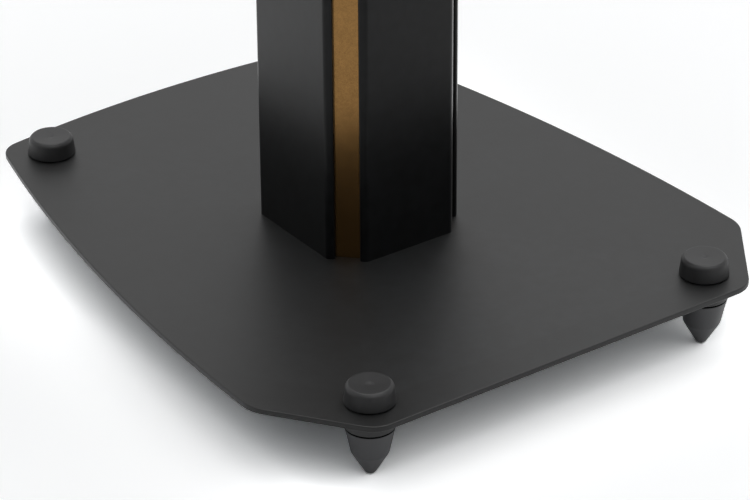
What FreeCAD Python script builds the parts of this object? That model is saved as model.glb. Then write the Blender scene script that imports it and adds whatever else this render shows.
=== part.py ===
import FreeCAD, Part
import math
import os

# A speaker stand: a steel base plate on four levelling spikes, an extruded pillar with a bronze
# strip let into each clipped corner, and a steel top plate with four pads for the speaker.
# Millimetres. +Z is up, the front is towards -Y, and the origin is on the floor under the middle
# of the base plate.

V = FreeCAD.Vector

# ---- base plate -------------------------------------------------------------------------------
base_length = 350.4            # front edge to the crown of the bowed rear edge
base_half_width = 148.7        # widest place, where a clipped corner meets the side
base_front_half_width = 111.8  # half of the straight front edge
base_clip_run = 50.1           # how far back a clipped corner reaches
base_side_radius = 1114.0      # bow of the sides
base_rear_radius = 657.0       # bow of the rear edge
base_front_round = 15.0        # corners at the ends of the front edge
base_side_round = 20.0         # corners where a clipped end meets the side
base_rear_round = 13.0         # rear corners
base_thickness = 3.0

# ---- top plate --------------------------------------------------------------------------------
top_length = 220.0
top_half_width = 92.0
top_front_half_width = 68.0
top_clip_run = 32.0
top_side_radius = 640.0
top_rear_radius = 385.0
top_front_round = 9.5
top_side_round = 12.5
top_rear_round = 10.0
top_thickness = 3.0

plate_edge_round = 0.5         # softened rim of both plates

# ---- levelling feet ---------------------------------------------------------------------------
front_foot_inset = 21.9        # foot axis behind the front edge
front_foot_side_inset = 47.8   # foot axis in from the widest place
rear_foot_inset = 28.7         # foot axis ahead of the rear crown
rear_foot_side_inset = 23.8    # foot axis in from the side at that place

cone_height = 26.0
cone_top_radius = 12.2
cone_kink_radius = 9.3
cone_kink_drop = 13.5          # from the cone's top down to where it narrows faster
cone_tip_radius = 3.6
cone_edge_round = 0.4
ring_thickness = 1.0
ring_radius = 12.3
collar_height = 9.0
collar_radius = 12.5
washer_thickness = 0.6
washer_radius = 11.8
cap_radius = 12.5
cap_shoulder_radius = 11.2
cap_shoulder_height = 7.4
cap_top_radius = 9.1
cap_rim_width = 1.0            # flat rim round the dished top
cap_height = 9.3
cap_dish_depth = 0.5
cap_dimple_radius = 2.2
cap_dimple_depth = 0.5
cap_foot_round = 0.3
cap_shoulder_round = 1.0
stud_radius = 4.0
stud_in_cap = 6.0              # how far the stud reaches up into the cap
stud_chamfer = 0.8
foot_travel = 10.0             # how far a cone screws down
thread_engagement = 6.0        # thread still engaged when a cone is right down
bore_end_gap = 1.5             # left free past the stud in a spike's blind bore
cap_bore_end_gap = 0.5         # left free past the stud in a cap's blind bore
thread_clearance = 0.05        # radial, stud or screw in its thread
ring_clearance = 0.3           # radial, ring and washer round the stud
stud_hole_clearance = 0.25     # radial, stud in the base plate

# ---- pillar -----------------------------------------------------------------------------------
pillar_width = 80.6
pillar_depth = 87.4
pillar_setback = -2.9          # pillar's middle from the base plate's middle
pillar_length = 555.0
pillar_wall = 2.5
corner_leg = 15.3              # legs of the clipped corners
shoulder_round = 2.0           # where a flat turns into a clipped corner
mouth_round = 1.2              # edges of the groove in a clipped corner
groove_mouth = 12.2
strip_recess = 2.4             # strip's face below the clipped corner
strip_width = 15.0
strip_thickness = 2.0
strip_clearance = 0.15         # strip in its slot, each way
port_radius = 5.5              # screw port, outside
port_inset = 3.0               # port's axis in from the inner corner wall

# ---- countersunk screws that hold the plates to the pillar -------------------------------------
screw_radius = 2.5
screw_head_radius = 5.0
screw_length = 22.0
screw_socket_across = 3.0
screw_socket_depth = 1.6

# ---- cable openings in the rear of the pillar --------------------------------------------------
cable_slot_height = 46.0
cable_slot_width = 18.0
cable_slot_from_end = 62.0     # slot's middle from the pillar's end
grommet_wall = 2.0
grommet_flange = 3.0           # overhang outside the pillar
grommet_flange_thickness = 1.5
grommet_lip = 1.2              # overhang inside the pillar

# ---- speaker pads -----------------------------------------------------------------------------
pad_radius = 10.0
pad_thickness = 3.0
pad_round = 0.6
pad_end_inset = 17.0           # pad axis in from the front edge or the rear crown
front_pad_side_inset = 34.0
rear_pad_side_inset = 18.0

# ---- heights that follow ----------------------------------------------------------------------
cone_top = cone_height
ring_top = cone_top + ring_thickness
base_bottom = ring_top + collar_height
base_top = base_bottom + base_thickness
pillar_top = base_top + pillar_length
top_plate_top = pillar_top + top_thickness
cap_bottom = base_top + washer_thickness
stud_bottom = cone_top - foot_travel - thread_engagement
stud_top = cap_bottom + stud_in_cap

TOLERANCE = 1e-4
OVERRUN = 1.0                  # how far a cutter runs past the face that it cuts


def side_reach(half_width, length, clip_run, side_radius, y):
    """Half width of a plate at y: the side is an arc, widest at the clipped corner's end."""
    back = y - (clip_run - length / 2)
    return half_width - side_radius + math.sqrt(side_radius ** 2 - back ** 2)


def rear_corner(half_width, length, clip_run, side_radius, rear_radius):
    """Where the side arc meets the rear arc: the crossing of two circles, on the right."""
    side_centre = V(half_width - side_radius, clip_run - length / 2, 0)
    rear_centre = V(0, length / 2 - rear_radius, 0)
    between = rear_centre - side_centre
    gap = between.Length
    along = (side_radius ** 2 - rear_radius ** 2 + gap ** 2) / (2 * gap)
    across = math.sqrt(side_radius ** 2 - along ** 2)
    between.normalize()
    return side_centre + between * along + V(-between.y, between.x, 0) * across


def upright_edges(solid):
    """The straight vertical edges of an extruded solid."""
    found = []
    for edge in solid.Edges:
        ends = [v.Point for v in edge.Vertexes]
        if len(ends) == 2 and math.hypot(ends[0].x - ends[1].x, ends[0].y - ends[1].y) < TOLERANCE:
            found.append(edge)
    return found


def plate(length, half_width, front_half, clip_run, side_radius, rear_radius, thickness,
          front_round, side_round, rear_round, bottom):
    """A flat plate: straight front edge, clipped front corners, bowed sides and rear edge."""
    front = -length / 2
    clip_end = V(half_width, front + clip_run, 0)
    corner = rear_corner(half_width, length, clip_run, side_radius, rear_radius)
    middle_y = (clip_end.y + corner.y) / 2
    middle_x = side_reach(half_width, length, clip_run, side_radius, middle_y)
    crown = V(0, length / 2, 0)

    def left(p):
        return V(-p.x, p.y, 0)

    side_middle = V(middle_x, middle_y, 0)
    edges = [
        Part.LineSegment(V(-front_half, front, 0), V(front_half, front, 0)).toShape(),
        Part.LineSegment(V(front_half, front, 0), clip_end).toShape(),
        Part.Arc(clip_end, side_middle, corner).toShape(),
        Part.Arc(corner, crown, left(corner)).toShape(),
        Part.Arc(left(corner), left(side_middle), left(clip_end)).toShape(),
        Part.LineSegment(left(clip_end), V(-front_half, front, 0)).toShape(),
    ]
    solid = Part.Face(Part.Wire(edges)).extrude(V(0, 0, thickness))
    rear = [e for e in upright_edges(solid) if e.Vertexes[0].Point.y > 0]
    solid = solid.makeFillet(rear_round, rear)
    ends = [e for e in upright_edges(solid) if e.Vertexes[0].Point.y < front + TOLERANCE]
    solid = solid.makeFillet(front_round, ends)
    clips = [e for e in upright_edges(solid) if abs(e.Vertexes[0].Point.y - clip_end.y) < TOLERANCE]
    solid = solid.makeFillet(side_round, clips)
    rim = [e for e in solid.Edges if abs(e.BoundBox.ZMax - e.BoundBox.ZMin) < TOLERANCE]
    solid = solid.makeFillet(plate_edge_round, rim)
    solid.translate(V(0, 0, bottom))
    return solid


def turned(points):
    """A solid of revolution about Z from a closed profile of (radius, height) points."""
    corners = [V(r, 0, z) for r, z in points]
    profile = Part.Face(Part.makePolygon(corners + [corners[0]]))
    return profile.revolve(V(0, 0, 0), V(0, 0, 1), 360)


def round_circles(solid, fillet, wanted):
    """Round the circular edges whose (radius, height) is in the wanted list."""
    chosen = []
    for edge in solid.Edges:
        if not edge.Degenerated and isinstance(edge.Curve, Part.Circle):
            size = (edge.Curve.Radius, edge.Curve.Center.z)
            if any(abs(size[0] - r) + abs(size[1] - z) < TOLERANCE for r, z in wanted):
                chosen.append(edge)
    return solid.makeFillet(fillet, chosen)


def tube(outer, inner, bottom, height):
    """A plain ring about Z."""
    whole = Part.makeCylinder(outer, height, V(0, 0, bottom))
    return whole.cut(Part.makeCylinder(inner, height, V(0, 0, bottom)))


def obround(width, height, depth):
    """A flat-sided slot shape in the XZ plane, centred on the origin, reaching depth along +Y."""
    r = width / 2
    straight = height / 2 - r
    shape = Part.makeBox(width, depth, 2 * straight, V(-r, 0, -straight))
    for z in (-straight, straight):
        shape = shape.fuse(Part.makeCylinder(r, depth, V(0, 0, z), V(0, 1, 0)))
    return shape.removeSplitter()


def at(shape, x, y, z=0.0):
    """A copy of a shape, moved."""
    placed = shape.copy()
    placed.translate(V(x, y, z))
    return placed


def save(name, shape):
    """Write one named piece."""
    shape.exportStep("parts/" + name + ".step")
    print(name, len(shape.Solids), "solid(s)", round(shape.Volume), "mm3", shape.isValid())


# ---- where the feet and the pads stand --------------------------------------------------------
def corner_places(front_y, front_x, rear_y, rear_x):
    """Four places, mirrored left and right, by name."""
    return {
        "front_left": (-front_x, front_y),
        "front_right": (front_x, front_y),
        "rear_left": (-rear_x, rear_y),
        "rear_right": (rear_x, rear_y),
    }


rear_foot_y = base_length / 2 - rear_foot_inset
rear_foot_reach = side_reach(base_half_width, base_length, base_clip_run, base_side_radius,
                             rear_foot_y)
feet = corner_places(front_foot_inset - base_length / 2,
                     base_half_width - front_foot_side_inset,
                     rear_foot_y,
                     rear_foot_reach - rear_foot_side_inset)

rear_pad_y = top_length / 2 - pad_end_inset
rear_pad_reach = side_reach(top_half_width, top_length, top_clip_run, top_side_radius, rear_pad_y)
pads = corner_places(pad_end_inset - top_length / 2,
                     top_half_width - front_pad_side_inset,
                     rear_pad_y,
                     rear_pad_reach - rear_pad_side_inset)


# ---- the pillar's section ---------------------------------------------------------------------
half_w = pillar_width / 2
half_d = pillar_depth / 2
slot_depth = strip_thickness + 2 * strip_clearance
slot_width = strip_width + 2 * strip_clearance
inner_corner_depth = strip_recess + slot_depth + pillar_wall
corner_mid = (half_w - corner_leg / 2, half_d - corner_leg / 2)
root_half = math.sqrt(0.5)
port_depth = inner_corner_depth + port_inset
port_place = (corner_mid[0] - port_depth * root_half, corner_mid[1] - port_depth * root_half)
CORNERS = {"front_left": (-1, -1), "front_right": (1, -1), "rear_left": (-1, 1), "rear_right": (1, 1)}


def clipped_block(half_x, half_y, leg, bottom, height):
    """An upright block with four clipped corners."""
    outline = []
    for sx, sy in ((-1, -1), (1, -1), (1, 1), (-1, 1)):
        near_y = V(sx * half_x, sy * (half_y - leg), bottom)
        near_x = V(sx * (half_x - leg), sy * half_y, bottom)
        outline += [near_y, near_x] if sx == sy else [near_x, near_y]
    return Part.Face(Part.makePolygon(outline + [outline[0]])).extrude(V(0, 0, height))


def corner_bar(sx, sy, width, depth_from, depth_to, bottom, height):
    """An upright bar that lies along a clipped corner, between two depths below its face."""
    bar = Part.makeBox(width, depth_to - depth_from, height, V(-width / 2, depth_from, bottom))
    inward = math.degrees(math.atan2(-sy, -sx)) - 90
    bar.rotate(V(0, 0, 0), V(0, 0, 1), inward)
    bar.translate(V(sx * corner_mid[0], sy * corner_mid[1] + pillar_setback, 0))
    return bar


def make_pillar():
    """The extruded pillar: clipped corners with undercut grooves, hollow, four screw ports."""
    body = clipped_block(half_w, half_d, corner_leg, base_top, pillar_length)
    body = body.makeFillet(shoulder_round, upright_edges(body))
    body.translate(V(0, pillar_setback, 0))
    for sx, sy in CORNERS.values():
        body = body.cut(corner_bar(sx, sy, groove_mouth, -OVERRUN, strip_recess, base_top, pillar_length))
    mouths = []
    for edge in upright_edges(body):
        p = edge.Vertexes[0].Point
        along = abs(abs(p.x) - corner_mid[0] - abs(p.y - pillar_setback) + corner_mid[1]) * root_half
        depth = (corner_mid[0] + corner_mid[1] - abs(p.x) - abs(p.y - pillar_setback)) * root_half
        if abs(along - groove_mouth / 2) < TOLERANCE and abs(depth) < TOLERANCE:
            mouths.append(edge)
    body = body.makeFillet(mouth_round, mouths)
    for sx, sy in CORNERS.values():
        slot_end = strip_recess + slot_depth
        body = body.cut(corner_bar(sx, sy, slot_width, strip_recess, slot_end, base_top, pillar_length))

    inner_leg = corner_leg + inner_corner_depth / root_half - 2 * pillar_wall
    hollow = clipped_block(half_w - pillar_wall, half_d - pillar_wall, inner_leg,
                           base_top, pillar_length)
    hollow.translate(V(0, pillar_setback, 0))
    for sx, sy in CORNERS.values():
        x = sx * port_place[0]
        y = sy * port_place[1] + pillar_setback
        hollow = hollow.cut(Part.makeCylinder(port_radius, pillar_length, V(x, y, base_top)))
    body = body.cut(hollow)
    for sx, sy in CORNERS.values():
        x = sx * port_place[0]
        y = sy * port_place[1] + pillar_setback
        hole = Part.makeCylinder(screw_radius + thread_clearance, pillar_length, V(x, y, base_top))
        body = body.cut(hole)
    slot = obround(cable_slot_width, cable_slot_height, pillar_wall + 2 * OVERRUN)
    slot_front = pillar_setback + half_d - pillar_wall - OVERRUN
    for z in cable_slot_heights:
        body = body.cut(at(slot, 0, slot_front, z))
    return body


cable_slot_heights = (base_top + cable_slot_from_end, pillar_top - cable_slot_from_end)
pillar = make_pillar()


def make_grommet():
    """A rubber grommet: outer flange, sleeve through the pillar's wall, lip inside, open bore."""
    rear_face = pillar_setback + half_d
    lip_face = rear_face - pillar_wall
    flange = obround(cable_slot_width + 2 * grommet_flange, cable_slot_height + 2 * grommet_flange,
                     grommet_flange_thickness)
    sleeve = obround(cable_slot_width, cable_slot_height, pillar_wall)
    lip = obround(cable_slot_width + 2 * grommet_lip, cable_slot_height + 2 * grommet_lip,
                  grommet_flange_thickness)
    body = at(flange, 0, rear_face).fuse(at(sleeve, 0, lip_face))
    body = body.fuse(at(lip, 0, lip_face - grommet_flange_thickness))
    bore = obround(cable_slot_width - 2 * grommet_wall, cable_slot_height - 2 * grommet_wall,
                   pillar_wall + 2 * grommet_flange_thickness + 2 * OVERRUN)
    bore_front = lip_face - grommet_flange_thickness - OVERRUN
    return body.cut(at(bore, 0, bore_front)).removeSplitter()


def screw_places():
    """The four screw ports' axes."""
    return [(sx * port_place[0], sy * port_place[1] + pillar_setback) for sx, sy in CORNERS.values()]


def make_screw():
    """A countersunk screw standing head down, its head's face at z = 0."""
    head_height = screw_head_radius - screw_radius
    body = turned([(0, 0), (screw_head_radius, 0), (screw_radius, head_height),
                   (screw_radius, screw_length), (0, screw_length)])
    hexagon = [V(screw_socket_across / math.sqrt(3) * math.cos(math.radians(60 * i)),
                 screw_socket_across / math.sqrt(3) * math.sin(math.radians(60 * i)), 0)
               for i in range(7)]
    socket = Part.Face(Part.makePolygon(hexagon)).extrude(V(0, 0, screw_socket_depth))
    return body.cut(socket)


def screw_holes(face_z, way):
    """The countersunk holes for the screws in a plate; way is +1 with the heads below."""
    holes = []
    depth = screw_head_radius - screw_radius
    through = max(base_thickness, top_thickness) + OVERRUN
    for x, y in screw_places():
        sink = Part.makeCone(screw_head_radius, screw_radius, depth, V(x, y, face_z), V(0, 0, way))
        shank = Part.makeCylinder(screw_radius + thread_clearance, through, V(x, y, face_z),
                                  V(0, 0, way))
        holes.append(sink.fuse(shank))
    return holes


# ---- plates -----------------------------------------------------------------------------------
base_plate = plate(base_length, base_half_width, base_front_half_width, base_clip_run,
                   base_side_radius, base_rear_radius, base_thickness, base_front_round,
                   base_side_round, base_rear_round, base_bottom)
for hole in screw_holes(base_bottom, 1):
    base_plate = base_plate.cut(hole)
for x, y in feet.values():
    stud_hole = Part.makeCylinder(stud_radius + stud_hole_clearance, base_thickness,
                                  V(x, y, base_bottom))
    base_plate = base_plate.cut(stud_hole)

top_plate = plate(top_length, top_half_width, top_front_half_width, top_clip_run, top_side_radius,
                  top_rear_radius, top_thickness, top_front_round, top_side_round, top_rear_round,
                  pillar_top)
for hole in screw_holes(top_plate_top, -1):
    top_plate = top_plate.cut(hole)

# ---- one foot, standing at the origin -----------------------------------------------------------
cone_bore_bottom = stud_bottom - bore_end_gap
kink_height = cone_top - cone_kink_drop
thread_bore = stud_radius + thread_clearance


def make_cone():
    """The spike: a round tip, a steep cone to the kink, a gentler one above, and a blind bore."""
    rise = kink_height - cone_tip_radius
    reach = math.hypot(cone_kink_radius, rise)
    angle = math.atan2(rise, cone_kink_radius) - math.acos(cone_tip_radius / reach)
    touch = V(cone_tip_radius * math.cos(angle), 0, cone_tip_radius * (1 + math.sin(angle)))
    half = (angle - math.pi / 2) / 2
    bend = V(cone_tip_radius * math.cos(half), 0, cone_tip_radius * (1 + math.sin(half)))
    corners = [touch, V(cone_kink_radius, 0, kink_height), V(cone_top_radius, 0, cone_top),
               V(thread_bore, 0, cone_top), V(thread_bore, 0, cone_bore_bottom),
               V(0, 0, cone_bore_bottom), V(0, 0, 0)]
    edges = [Part.LineSegment(a, b).toShape() for a, b in zip(corners, corners[1:])]
    edges.append(Part.Arc(V(0, 0, 0), bend, touch).toShape())
    body = Part.Face(Part.Wire(edges)).revolve(V(0, 0, 0), V(0, 0, 1), 360)
    return round_circles(body, cone_edge_round, [(cone_top_radius, cone_top)])


def make_cap():
    """The cap nut above the plate: tapered wall, sloping shoulder, dished top with a dimple."""
    top = cap_bottom + cap_height
    dish = top - cap_dish_depth
    rim = cap_top_radius - cap_rim_width
    bore_top = stud_top + cap_bore_end_gap
    body = turned([
        (thread_bore, cap_bottom), (cap_radius, cap_bottom),
        (cap_shoulder_radius, cap_bottom + cap_shoulder_height), (cap_top_radius, top),
        (rim, top), (cap_dimple_radius, dish), (0, dish - cap_dimple_depth), (0, bore_top),
        (thread_bore, bore_top),
    ])
    body = round_circles(body, cap_foot_round, [(cap_radius, cap_bottom)])
    shoulder = (cap_shoulder_radius, cap_bottom + cap_shoulder_height)
    return round_circles(body, cap_shoulder_round, [shoulder])


def make_stud():
    """The threaded stud, plain, with a chamfer at each end."""
    small = stud_radius - stud_chamfer
    return turned([(0, stud_bottom), (small, stud_bottom), (stud_radius, stud_bottom + stud_chamfer),
                   (stud_radius, stud_top - stud_chamfer), (small, stud_top), (0, stud_top)])


foot_pieces = {
    "foot_cap": make_cap(),
    "foot_washer": tube(washer_radius, stud_radius + ring_clearance, base_top, washer_thickness),
    "foot_collar": tube(collar_radius, thread_bore, ring_top, collar_height),
    "foot_stud": make_stud(),
    "foot_ring": tube(ring_radius, stud_radius + ring_clearance, cone_top, ring_thickness),
    "foot_cone": make_cone(),
}

# ---- write every piece --------------------------------------------------------------------------
save("base_plate", base_plate)
save("pillar", pillar)
for corner, (sx, sy) in CORNERS.items():
    face = strip_recess + strip_clearance
    strip = corner_bar(sx, sy, strip_width, face, face + strip_thickness, base_top, pillar_length)
    save("corner_strip_" + corner, strip)
save("top_plate", top_plate)

screw = make_screw()
lower_screws = [at(screw, x, y, base_bottom) for x, y in screw_places()]
save("base_screws", Part.makeCompound(lower_screws))
hung_screw = screw.copy()
hung_screw.rotate(V(0, 0, 0), V(1, 0, 0), 180)
upper_screws = [at(hung_screw, x, y, top_plate_top) for x, y in screw_places()]
save("top_screws", Part.makeCompound(upper_screws))

grommet = make_grommet()
save("cable_grommet_lower", at(grommet, 0, 0, cable_slot_heights[0]))
save("cable_grommet_upper", at(grommet, 0, 0, cable_slot_heights[1]))

pad = Part.makeCylinder(pad_radius, pad_thickness, V(0, 0, top_plate_top))
pad = round_circles(pad, pad_round, [(pad_radius, top_plate_top + pad_thickness)])
for corner, (x, y) in pads.items():
    save("speaker_pad_" + corner, at(pad, x, y))

for corner, (x, y) in feet.items():
    for kind, shape in foot_pieces.items():
        save(kind + "_" + corner, at(shape, x, y))

print("overall height", top_plate_top + pad_thickness)
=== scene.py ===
# %% [markdown]
# # A speaker stand, piece by piece
# The stand is a flat steel base on four levelling spikes, a hollow pillar with a bronze strip let
# into each clipped corner, and a flat top with four rubber pads. The solids that carry it are
# loaded first and stay where they are. This file then dresses each one in a finer surface, which
# is a formula on a grid of points, and gives each surface the finish of the real material.

# %% Load the solids and keep their box
import math
import bmesh
import bpy
import numpy as np
from mathutils import Matrix, Vector
from mathutils.geometry import delaunay_2d_cdt


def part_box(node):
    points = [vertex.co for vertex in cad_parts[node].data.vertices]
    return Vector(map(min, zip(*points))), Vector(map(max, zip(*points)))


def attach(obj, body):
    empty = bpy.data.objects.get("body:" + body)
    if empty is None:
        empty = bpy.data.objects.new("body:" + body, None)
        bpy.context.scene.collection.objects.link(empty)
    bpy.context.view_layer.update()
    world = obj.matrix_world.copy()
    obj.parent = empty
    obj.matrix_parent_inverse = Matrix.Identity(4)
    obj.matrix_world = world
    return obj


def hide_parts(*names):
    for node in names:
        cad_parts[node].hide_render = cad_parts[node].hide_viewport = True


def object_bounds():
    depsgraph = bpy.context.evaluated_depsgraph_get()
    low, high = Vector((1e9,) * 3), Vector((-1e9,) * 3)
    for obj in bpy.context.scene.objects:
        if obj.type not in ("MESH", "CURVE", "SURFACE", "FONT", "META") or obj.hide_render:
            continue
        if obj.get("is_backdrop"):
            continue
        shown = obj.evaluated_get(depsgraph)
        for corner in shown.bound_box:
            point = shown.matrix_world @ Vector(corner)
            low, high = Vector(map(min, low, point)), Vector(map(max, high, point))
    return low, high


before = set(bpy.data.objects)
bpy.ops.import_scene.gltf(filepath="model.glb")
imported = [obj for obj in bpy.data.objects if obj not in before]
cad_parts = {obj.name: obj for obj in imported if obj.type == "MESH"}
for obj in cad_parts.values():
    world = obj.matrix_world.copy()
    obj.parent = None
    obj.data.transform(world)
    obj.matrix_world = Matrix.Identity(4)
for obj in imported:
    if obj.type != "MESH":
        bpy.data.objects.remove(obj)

cad_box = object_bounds()
MM = 0.001

# %% [markdown]
# ## Places and sizes
# A dressed piece has to sit exactly where its solid sits, so every place is asked of the loaded
# solids instead of being typed in again. All shapes below are worked out in millimetres, as on a
# workshop drawing, and turned into metres once, when the mesh is made.

# %% Ask the solids for boxes
def node_box(node):
    """Lowest and highest corner of a solid, in millimetres."""
    low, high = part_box(node)
    return np.array(low) / MM, np.array(high) / MM


base_low, base_high = node_box("base_plate")
top_low, top_high = node_box("top_plate")
pillar_low, pillar_high = node_box("pillar")
CORNERS = ("front_left", "front_right", "rear_left", "rear_right")
print("base plate", (base_high - base_low).round(1), "pillar", (pillar_high - pillar_low).round(1))

# %% [markdown]
# ## Grids of points
# A rounded bar, a cap or a thread can each be said with two numbers: how far along, and how far
# around. Points worked out for every pair of those numbers form a grid, and each little cell of
# the grid is a face. Where a grid closes on itself its last column joins its first one, and where
# it ends in a pole the whole row lies on one point, which is merged afterwards.

# %% Faces of a grid, and a ring of directions
def grid(points, closed=False, looped=False):
    """Cells of a grid: cell (i, j) joins point (i, j), (i, j + 1), (i + 1, j + 1) and (i + 1, j).

    closed joins the last column to the first one, and looped joins the last row to the first one.
    """
    rows, columns = points.shape[:2]
    index = np.arange(rows * columns).reshape(rows, columns)
    if closed:
        index = np.concatenate([index, index[:, :1]], axis=1)
    if looped:
        index = np.concatenate([index, index[:1]], axis=0)
    cells = np.stack([index[:-1, :-1], index[:-1, 1:], index[1:, 1:], index[1:, :-1]], axis=-1)
    return points.reshape(-1, 3), cells.reshape(-1, 4)


SUPPORT = 0.4


def supported(profile):
    """A profile with a point SUPPORT mm in from both ends of each long straight run.

    Shading is blended between points, so these keep a roundness from spreading over a flat.
    """
    profile = np.asarray(profile, float)
    before, after = profile[:-1], profile[1:]
    length = np.linalg.norm(after - before, axis=1)[:, None]
    share = np.divide(SUPPORT, length, out=np.full_like(length, 0.5), where=length > 0)
    points = np.stack([before, before + (after - before) * share, after - (after - before) * share],
                      axis=1)
    keep = np.repeat(length > 4 * SUPPORT, 3, axis=1)
    keep[:, 0] = True
    return np.concatenate([points[keep], profile[-1:]])


def around_axis(centre, radius, height, angle):
    """x = centre x + radius * cos(angle), y = centre y + radius * sin(angle), z = height."""
    x = centre[0] + radius * np.cos(angle)
    y = centre[1] + radius * np.sin(angle)
    return np.stack(np.broadcast_arrays(x, y, height), axis=-1)


def turned(profile, centre, around=96):
    """A lathe shape: each (radius, height) of the profile is carried once round the axis."""
    profile = supported(profile)
    angle = np.linspace(0, 2 * math.pi, around, endpoint=False)
    return grid(around_axis(centre, profile[:, :1], profile[:, 1:], angle), closed=True)


def swept(path, normals, profile):
    """A moulding: each (outset, height) of the profile is carried along a flat closed path.

    The point is path + normal * outset, lifted to height.
    """
    profile = supported(profile)
    flat = path[None] + normals[None] * profile[:, :1, None]
    height = np.broadcast_to(profile[:, 1, None, None], flat.shape[:2] + (1,))
    return grid(np.concatenate([flat, height], axis=-1), closed=True)


# %% [markdown]
# ## Flat faces with holes
# A sheet with holes has no tidy two-number grid, so its flat faces are filled with triangles that
# respect the outline and the holes. Because every point of such a face lies in one plane, the
# triangles never show.

# %% Fill a flat outline, less its holes
def crossings(points, loop):
    """How many of a loop's edges a ray to the right of each point crosses.

    An edge from a to b is crossed where the point's height lies between theirs and the edge, at
    that height, lies further right than the point.
    """
    x, y = points[:, :1], points[:, 1:]
    a, b = loop, np.roll(loop, -1, axis=0)
    rise = np.where(a[:, 1] == b[:, 1], 1.0, b[:, 1] - a[:, 1])
    edge_x = a[:, 0] + (y - a[:, 1]) / rise * (b[:, 0] - a[:, 0])
    between = (a[:, 1] > y) != (b[:, 1] > y)
    return (between & (edge_x > x)).sum(axis=1)


def filled(loops, lift):
    """Triangles inside the first loop and outside the others; lift puts flat points in space.

    A triangle is kept where its middle has crossed an odd number of edges on its way out.
    """
    points = np.concatenate(loops)
    starts = np.cumsum([0] + [len(loop) for loop in loops])
    edges = []
    for start, loop in zip(starts, loops):
        here = start + np.arange(len(loop))
        edges += list(zip(here.tolist(), np.roll(here, -1).tolist()))
    inside = 1
    made = delaunay_2d_cdt([Vector(p) for p in points.tolist()], edges, [], inside, 1e-6)
    flat, triangles = np.array([tuple(p) for p in made[0]]), np.array(made[2])
    count = sum(crossings(flat[triangles].mean(axis=1), loop) for loop in loops)
    return lift(flat), triangles[count % 2 == 1]


def at_height(z):
    """Lifts flat points to one height."""
    return lambda flat: np.column_stack([flat, np.full(len(flat), z)])


def at_depth(y):
    """Stands flat (x, z) points up in the plane of one y."""
    return lambda flat: np.column_stack([flat[:, 0], np.full(len(flat), y), flat[:, 1]])


def circle(centre, radius, around=48):
    """Points on a flat circle: centre + radius * (cos(angle), sin(angle))."""
    angle = np.linspace(0, 2 * math.pi, around, endpoint=False)
    return around_axis(centre, radius, 0.0, angle)[:, :2]


# %% [markdown]
# ## From surfaces to a finished piece
# One function turns any number of surfaces into one closed skin: it joins them, merges the points
# that they share, turns every face outwards, and shades the result smooth except across real
# edges. It then hangs the piece on an empty for its body, so that it rides with that body, hides
# its solid, for which it stands in, and prints how far its box lies from the solid's, which should
# be next to nothing.

# %% Make and place a piece
REAL_EDGE = math.radians(38)
WELD = 1e-6


def piece(node, surfaces, finish, body="stand"):
    """One closed skin from several (points, faces) surfaces, in the place of a solid."""
    points, faces, count = [], [], 0
    for some_points, some_faces in surfaces:
        points.append(some_points)
        faces += (some_faces + count).tolist()
        count += len(some_points)
    mesh = bpy.data.meshes.new(node + "_skin")
    mesh.from_pydata((np.concatenate(points) * MM).tolist(), [], faces)
    work = bmesh.new()
    work.from_mesh(mesh)
    bmesh.ops.remove_doubles(work, verts=work.verts, dist=WELD)
    bmesh.ops.recalc_face_normals(work, faces=work.faces)
    open_edges = sum(not edge.is_manifold for edge in work.edges)
    work.to_mesh(mesh)
    work.free()
    mesh.shade_smooth()
    mesh.set_sharp_from_angle(angle=REAL_EDGE)
    mesh.materials.append(finish)
    skin = bpy.data.objects.new(node + "_skin", mesh)
    bpy.context.scene.collection.objects.link(skin)
    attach(skin, body)
    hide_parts(node)
    low, high = node_box(node)
    corners = np.concatenate(points)
    gap = max(abs(corners.min(0) - low).max(), abs(corners.max(0) - high).max())
    print(f"{node}: {len(mesh.polygons)} faces, {open_edges} open edges, box within {gap:.3f} mm")


# %% [markdown]
# ## Colours and nodes
# Colours are written the way a paint card or a screen gives them, as six hex digits. The renderer
# works in linear light, so one function converts them. A second small function adds a shader node
# with its settings and its links, and every finish below is built with it. Noise seldom strays far
# from one half, so most patterns stretch its middle part, MIDDLE, over the whole range. A Mix node
# has sockets of the same name for each kind of value, so they are called by number.

# %% Helpers for every finish
def paint(hex_digits):
    """A screen colour in linear light: the standard curve, undone for each channel."""
    screen = np.array([int(hex_digits[i:i + 2], 16) for i in (0, 2, 4)]) / 255
    linear = np.where(screen <= 0.04045, screen / 12.92, ((screen + 0.055) / 1.055) ** 2.4)
    return (*linear.tolist(), 1.0)


def plug(node, inputs):
    """Fills inputs of a node: each takes a plain value, or a link from another node's output."""
    for name, value in inputs.items():
        if isinstance(value, bpy.types.NodeSocket):
            node.id_data.links.new(value, node.inputs[name])
        else:
            node.inputs[name].default_value = value


def add(tree, kind, inputs, output=0, **settings):
    """Adds a node with its settings and links, and gives back one output to be linked onwards."""
    made = tree.nodes.new(kind)
    for name, value in settings.items():
        setattr(made, name, value)
    plug(made, inputs)
    return made.outputs[output]


def new_material(name):
    """An empty material with a Principled shader: the material, its tree, the shader and places."""
    material = bpy.data.materials.new(name)
    material.use_nodes = True
    tree = material.node_tree
    shader = tree.nodes["Principled BSDF"]
    places = add(tree, "ShaderNodeTexCoord", {}, output="Object")
    return material, tree, shader, places


NOISE, RANGE, MIX = "ShaderNodeTexNoise", "ShaderNodeMapRange", "ShaderNodeMix"
BUMP, MATH, VECTOR_MATH = "ShaderNodeBump", "ShaderNodeMath", "ShaderNodeVectorMath"
FIRST, SECOND, MIXED = 6, 7, 2
LESS, MORE = 2, 3
MIDDLE = {"From Min": 0.3, "From Max": 0.7}
PER_MM = 1 / MM
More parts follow.
